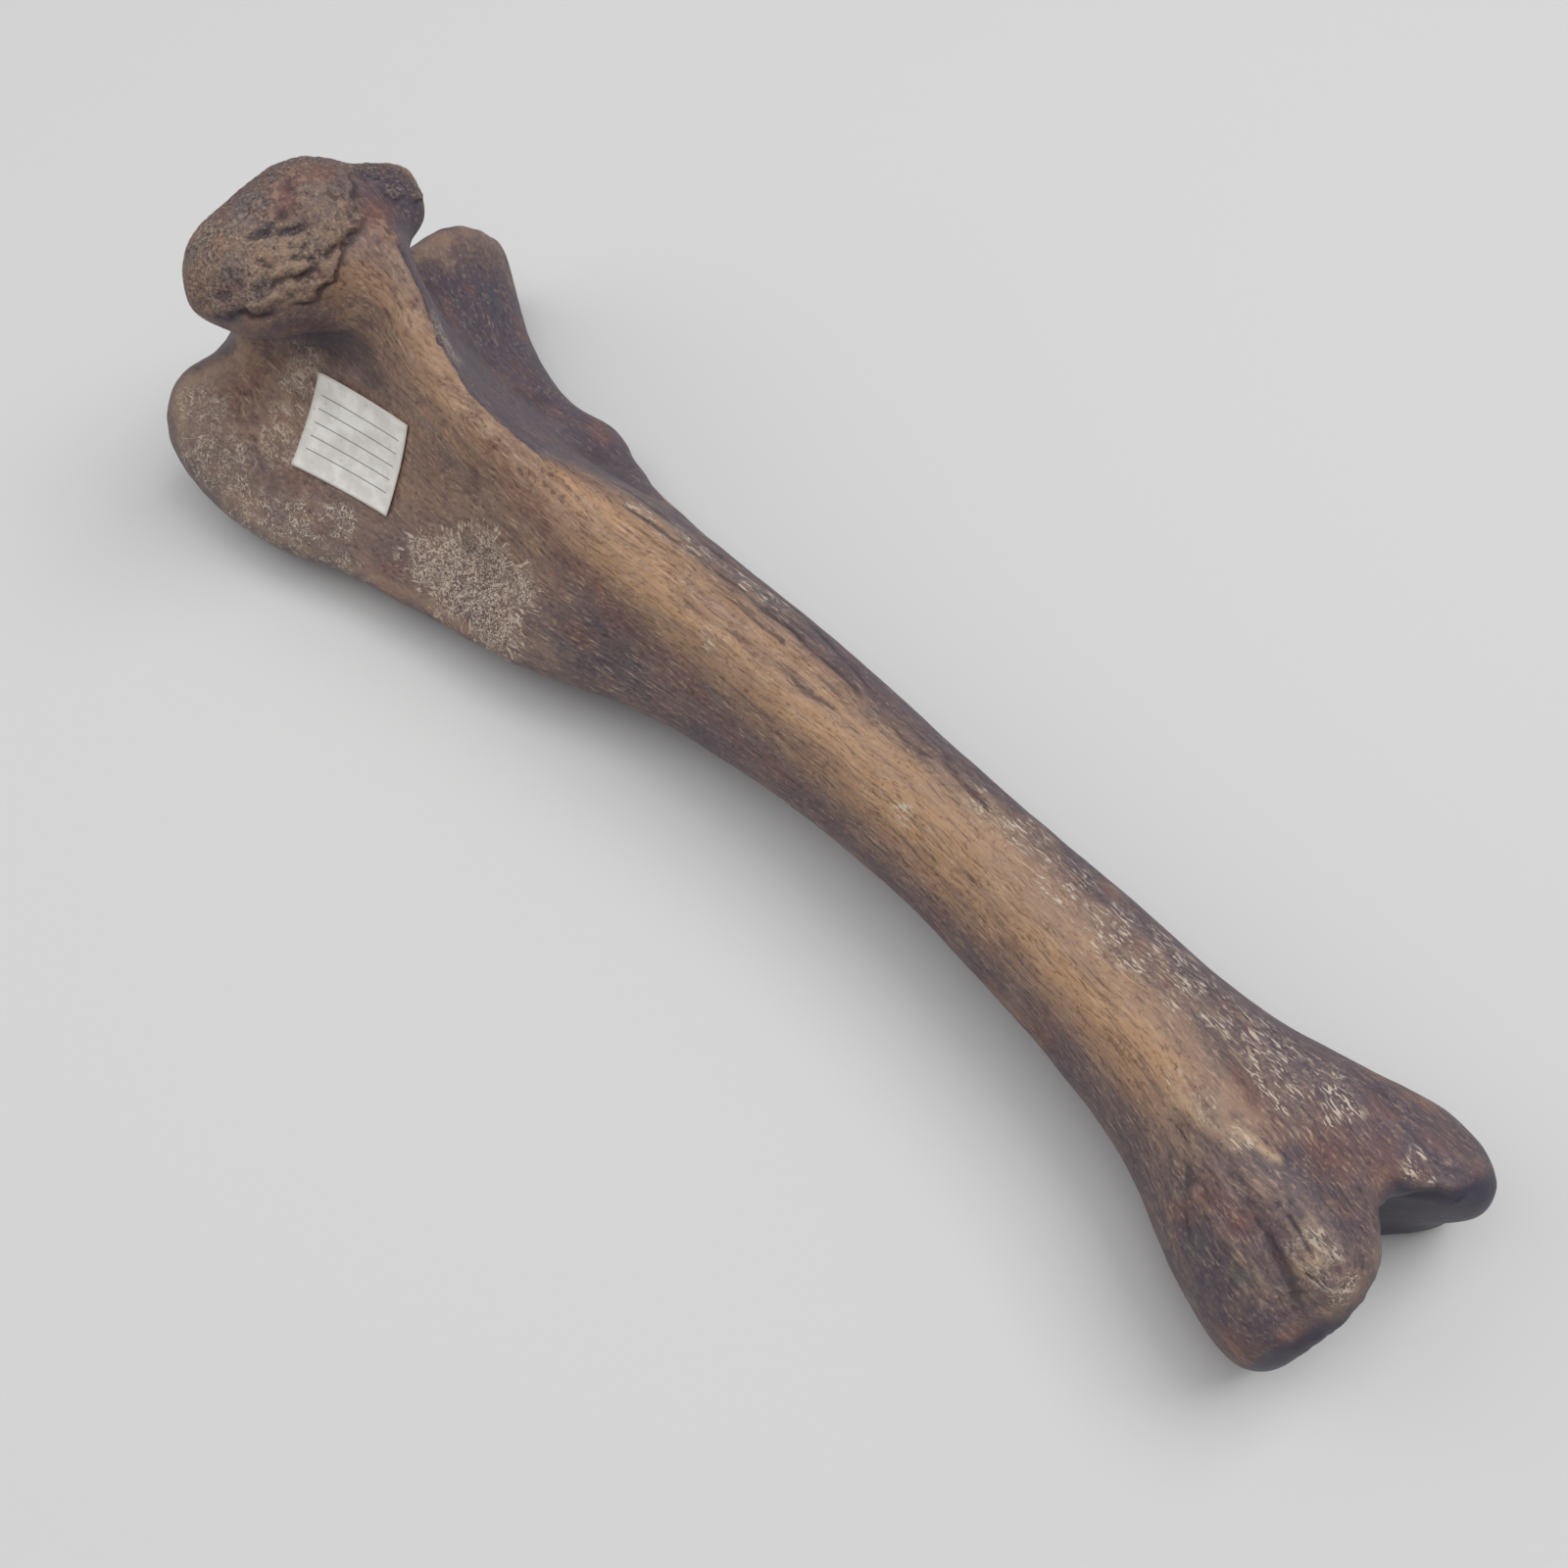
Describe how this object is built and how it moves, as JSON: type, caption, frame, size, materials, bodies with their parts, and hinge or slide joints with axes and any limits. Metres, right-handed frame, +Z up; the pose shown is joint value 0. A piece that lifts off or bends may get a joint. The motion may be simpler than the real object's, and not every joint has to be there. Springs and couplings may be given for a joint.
{
  "type": "fossil horse tibia",
  "caption": "Dark brown fossil shin bone of a small Ice Age horse with a rough knob, joint surfaces at both ends and a small blank paper label.",
  "frame": {"origin": "middle of the bounding box in plan, on the plane that the bone rests on", "axes": "+X down the bone from the knee end to the ankle end, +Y to its outer (lateral) side, +Z up, which is the front of the leg"},
  "size_m": [0.339, 0.0968, 0.0803],
  "materials": {
    "fossil_bone": null,
    "label_paper": null
  },
  "bodies": {
    "root": {"tibia": "fossil_bone", "label": "label_paper"}
  },
  "joints": []
}
